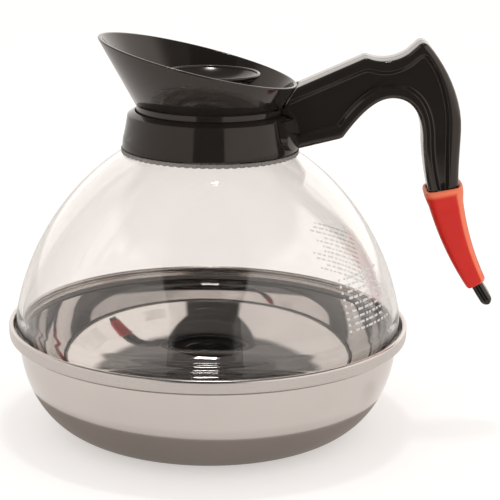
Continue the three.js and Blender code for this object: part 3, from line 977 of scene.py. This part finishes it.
def saddle():
    """The flange that wraps part of the way round the collar, and above it the hook's narrower root."""
    near = 20
    far = 60
    high = 165
    soft = 1.2
    shield = prism("handle_hook", rounded([
        (-SADDLE_HALF_WIDTH, FLANGE_TOP, soft), (-SADDLE_HALF_WIDTH, SADDLE_BOTTOM, SADDLE_CORNER_R),
        (SADDLE_HALF_WIDTH, SADDLE_BOTTOM, SADDLE_CORNER_R), (SADDLE_HALF_WIDTH, FLANGE_TOP, soft),
        (ROOT_HALF_WIDTH, FLANGE_TOP, soft), (ROOT_HALF_WIDTH, high), (-ROOT_HALF_WIDTH, high),
        (-ROOT_HALF_WIDTH, FLANGE_TOP, soft),
    ], steps=10), near, far)
    return boolean(shield, root_drum(), "INTERSECT")


def above_rim():
    """A block above the funnel's sloping rim, which trims the saddle level with it."""
    size = 120
    high = 300
    slope = [(x, LIP_Z - GAP - RIM_SLOPE * (x - LIP_X)) for x in (-size, size)]
    outline = [*slope, (size, high), (-size, high)]
    return skin("above_rim", [[(x, y, z) for x, z in outline] for y in (-size, size)], cap_ends=True)


def handle(material):
    """The saddle, the recessed hook and its tail in one piece, hollowed for the collar and the funnel."""
    flange = boolean(saddle(), above_rim(), "DIFFERENCE")
    hook = skin("hook", hook_rows() + tail_rows(), cap_ends=True)
    piece = boolean(flange, hook, "UNION")
    boolean(piece, neck_space(), "DIFFERENCE")
    smooth(piece, angle=28)
    place(piece, "vessel", "black_plastic", material, "handle")


# ------------------------------ grip sleeve


def squircle(turn, power):
    """A unit outline between a circle and a square."""
    c = math.cos(turn)
    s = math.sin(turn)
    return (math.copysign(abs(c) ** (2 / power), c), math.copysign(abs(s) ** (2 / power), s))


def grip_sleeve(material):
    """A soft tapered sleeve with a flared round lip, pushed over the tail from its tip.

    Its wall is an outline of distances along the tail and out from it. Each of its points is carried
    round the tail, squarer in the bore than on the outside.
    """
    length = (TAIL_WAIST - SLEEVE_TOP) * TAIL_ARC_R
    outside = GAP + SLEEVE_WALL
    wall = rounded([
        (length, GAP, 0.2), (0, GAP, 0.7), (0, outside, 1.2), (3.2, outside, 3), (7.5, outside - 0.6, 8),
        (length, outside - 0.35, 1.4),
    ], steps=8)
    bore_power = 7
    outside_power = 3.8
    around = 96
    rows = []
    for run, extra in refined(wall, longest=2.0):
        angle = SLEEVE_TOP + run / TAIL_ARC_R
        width = tail_taper(angle, TAIL_TOP_HALF, TAIL_WAIST_HALF) + extra
        depth = tail_taper(angle, TAIL_TOP_DEPTH, TAIL_WAIST_DEPTH) + extra
        power = lerp(bore_power, outside_power, (extra - GAP) / SLEEVE_WALL)
        row = []
        for i in range(around):
            across, aside = squircle(2 * math.pi * i / around, power)
            spot = tail_point(angle, across * width)
            row.append((spot.x, aside * depth, spot.y))
        rows.append(row)
    piece = skin("sleeve_body", rows, wrap_rows=True)
    smooth(piece, angle=60)
    place(piece, "sleeve", "orange_rubber", material, "grip_sleeve")


def refined(loop, longest):
    """The same closed outline with its long straight stretches divided."""
    points = []
    for here, there in zip(loop, loop[1:] + loop[:1]):
        pieces = max(1, math.ceil((there - here).length / longest))
        points += [here.lerp(there, i / pieces) for i in range(pieces)]
    return points


# ------------------------------ printed marks


def mark_rows(name, material, turns, heights, rows, seed, lead=0.0):
    """Rows of plain dashes on the dome, which stand in for printing without spelling anything.

    With a lead, each row starts with one short dash that stands apart by that many degrees.
    """
    dice = random.Random(seed)
    lead_dash = 1
    corners = []
    faces = []
    for row in range(rows):
        height = lerp(*heights, row / (rows - 1))
        turn = turns[0]
        last = turns[1] - dice.uniform(0, MARK_RAGGED)
        if lead:
            add_dash(corners, faces, turn, turn + lead_dash, height)
            turn += lead_dash + lead
        while turn < last - MARK_LAST:
            stop = min(turn + dice.uniform(*MARK_LENGTHS), last)
            add_dash(corners, faces, turn, stop, height)
            turn = stop + dice.uniform(*MARK_GAPS)
    mesh = bpy.data.meshes.new(name)
    mesh.from_pydata(corners, [], faces)
    clean(mesh)
    piece = add_object(name, mesh)
    piece.data.materials.append(material)
    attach(piece, "vessel")


def add_dash(corners, faces, start_deg, end_deg, height):
    """One thin raised dash between two angles round the dome."""
    first = len(corners)
    low = height - MARK_HALF
    high = height + MARK_HALF
    under = 0.02
    over = 0.08
    longest_step = 1.5
    steps = max(2, math.ceil((end_deg - start_deg) / longest_step))
    for i in range(steps + 1):
        turn = math.radians(lerp(start_deg, end_deg, i / steps))
        for z, lift in ((low, under), (high, under), (high, over), (low, over)):
            corners.append(Vector(at_angle((dome_radius(z) + lift, z), turn)) * MM)
    for i in range(steps):
        here = first + 4 * i
        there = here + 4
        for j in range(4):
            k = (j + 1) % 4
            faces.append((here + j, here + k, there + k, there + j))
    faces.append(tuple(range(first, first + 4)))
    faces.append(tuple(range(first + 4 * steps, first + 4 * steps + 4)))


# ------------------------------ stage


def floor():
    """A pale floor that glows a little, so that it stays near white."""
    mesh = bpy.data.meshes.new("floor")
    half = 4.0
    corners = [(-half, -half, 0), (half, -half, 0), (half, half, 0), (-half, half, 0)]
    mesh.from_pydata(corners, [], [(0, 1, 2, 3)])
    piece = add_object("floor", mesh)
    look = Look("pale_floor", (0.6, 0.6, 0.6), Roughness=0.9, Specular_IOR_Level=0.2, Emission_Strength=0.48)
    look.shader.inputs["Emission Color"].default_value = (1, 0.965, 0.935, 1)
    look.colours(look.grain(3), (0.6, 0.585, 0.575), (0.62, 0.605, 0.595))
    piece.data.materials.append(look.material)


def overhead_light():
    """A small soft light above, for the highlights in the lid's dish, in the bowl and along the rims."""
    data = bpy.data.lights.new("overhead", "AREA")
    data.shape = "RECTANGLE"
    data.size = 0.13
    data.size_y = 0.07
    data.energy = 1.7
    light = bpy.data.objects.new("overhead", data)
    light.location = (0.01, 0.05, 1.05)
    light.rotation_euler = (-Vector(light.location)).to_track_quat("-Z", "Y").to_euler()
    bpy.context.scene.collection.objects.link(light)


def hidden_card(name, corners, colour, glow=0.0):
    """A card that only mirror reflections see."""
    mesh = bpy.data.meshes.new(name)
    mesh.from_pydata(corners, [], [tuple(range(len(corners)))])
    piece = add_object(name, mesh)
    look = Look(name, colour, Roughness=1.0, Emission_Strength=glow)
    look.shader.inputs["Emission Color"].default_value = (*colour, 1)
    piece.data.materials.append(look.material)
    piece.visible_camera = False
    piece.visible_diffuse = False
    piece.visible_shadow = False
    piece.visible_transmission = False


def camera_shade():
    """A dark card in front, which stands in for what the polished steel mirrors there."""
    left = -0.15
    right = 0.17
    high = 0.6
    y = -0.45
    corners = [(left, y, 0), (right, y, 0), (right, y, high), (left, y, high)]
    hidden_card("camera_shade", corners, (0.02, 0.02, 0.02))


def contact_shade():
    """A dim disc just above the floor that glows a little: a painted shadow for the floor's shade under the
    bowl, which only the low curve of the base mirrors.
    """
    radius = 88
    lift = 0.3
    shift = Vector((0.002, 0, 0))
    sides = 64
    rim = [Vector(at_angle((radius, lift), 2 * math.pi * i / sides)) * MM for i in range(sides)]
    hidden_card("contact_shade", [spot - shift for spot in rim], (0.305, 0.28, 0.262), glow=0.5)


class Studio(Nodes):
    """The room round the decanter: plain white to the eye, but with dark and light parts in reflections."""

    def __init__(self):
        world = bpy.data.worlds.new("studio")
        world.use_nodes = True
        bpy.context.scene.world = world
        super().__init__(world.node_tree)
        self.tree.nodes.clear()
        self.x, self.y, self.z = self.split(self.add("ShaderNodeTexCoord").outputs["Generated"])

    def background(self, strength, tint):
        """Light of one colour, with a strength that can change with the direction."""
        return self.add("ShaderNodeBackground", Color=(*tint, 1), Strength=strength).outputs["Background"]

    def reflected_room(self):
        """Brightness by direction: light walls, a dark ceiling, a gap in front and a bright backdrop."""
        ceiling = self.ramp(self.z, 0.64, 0.74, 1.0, 0.14)
        walls = self.compute("MULTIPLY", ceiling, self.ramp(self.x, 0.0, 0.6, 1.0, 1.35))
        forward = self.compute("MULTIPLY", self.y, -1.0)
        sideways = self.compute("ABSOLUTE", self.compute("ARCTAN2", self.x, forward))
        rise = self.compute("MAXIMUM", self.compute("SUBTRACT", self.z, 0.35), 0.0)
        widening = self.compute("MULTIPLY", rise, 0.9)
        gap = self.ramp(self.compute("SUBTRACT", sideways, widening), 0.28, 0.34, 0.08, 1.0)
        backdrop = self.ramp(self.y, 0.5, 0.8, 0.0, 0.3)
        return self.compute("ADD", self.compute("MULTIPLY", walls, gap), backdrop)

    def finish(self):
        """Shows the plain white to every ray but a mirrored one, which sees the reflected room."""
        paths = self.add("ShaderNodeLightPath").outputs
        mirrored = self.compute("GREATER_THAN", paths["Glossy Depth"], 0.5)
        plain = self.compute("ADD", self.compute("MULTIPLY", paths["Is Camera Ray"], 0.19), 0.91)
        mix = self.add("ShaderNodeMixShader", Fac=mirrored)
        self.connect(mix.inputs[1], self.background(plain, (1.0, 1.0, 1.0)))
        self.connect(mix.inputs[2], self.background(self.reflected_room(), (1.0, 0.945, 0.9)))
        self.add("ShaderNodeOutputWorld", Surface=mix.outputs["Shader"])


def camera():
    """The view that was fitted to the hoop's circles."""
    data = bpy.data.cameras.new("camera")
    data.lens = 116.7
    data.sensor_width = 36
    data.clip_start = 0.01
    piece = bpy.data.objects.new("camera", data)
    piece.location = (0.0342, -0.6992, 0.2614)
    dip = math.radians(14.553)
    yaw = math.radians(1.31)
    roll = math.radians(0.917)
    aim = Euler((math.pi / 2 - dip, 0, yaw)).to_matrix() @ Matrix.Rotation(roll, 3, "Z")
    piece.rotation_euler = aim.to_euler()
    bpy.context.scene.collection.objects.link(piece)
    bpy.context.scene.camera = piece


def stage():
    """Everything round the decanter that isn't part of it."""
    floor()
    Studio().finish()
    overhead_light()
    camera_shade()
    contact_shade()
    bpy.context.scene.view_settings.view_transform = "Standard"
    camera()


# ------------------------------ the whole decanter


def finish_hidden_nodes(steel, rubber):
    """The CAD pieces that stay, inside the neck: they only need a better material."""
    finishes = {"neck_clip": steel, "funnel_seal": rubber}
    for name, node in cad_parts.items():
        if name.startswith("handle_screw"):
            finishes[name] = steel
        if name in finishes:
            node.data.materials.clear()
            node.data.materials.append(finishes[name])


def decanter():
    """Every piece with its material, and the printed marks."""
    black = gloss_black("gloss_black")
    satin = satin_steel("bowl_satin", shade=0.65, rough=0.12)
    pale = pale_silicone()
    base_bowl(inside=mirror_steel(), outside=satin)
    rim_hoop(satin_steel("hoop_satin", shade=0.58, rough=0.24))
    base_seal(pale)
    dome(clear_plastic())
    neck_seal(pale)
    collar(gloss_black("collar_black", density=1.39))
    funnel(black)
    lid_cap(gloss_black("lid_black", rough=0.13))
    lid_spider(black)
    handle(black)
    grip_sleeve(orange_silicone())
    finish_hidden_nodes(spring_steel(), black_silicone())
    near = printed_ink("near_ink", cover=0.7)
    far = printed_ink("far_ink", cover=0.26)
    mark_rows("front_marks", near, turns=(-43, -19), heights=(60.5, 81), rows=9, seed=3, lead=1.8)
    mark_rows("back_marks", far, turns=(30, 56), heights=(55, 80), rows=11, seed=5)


decanter()
stage()
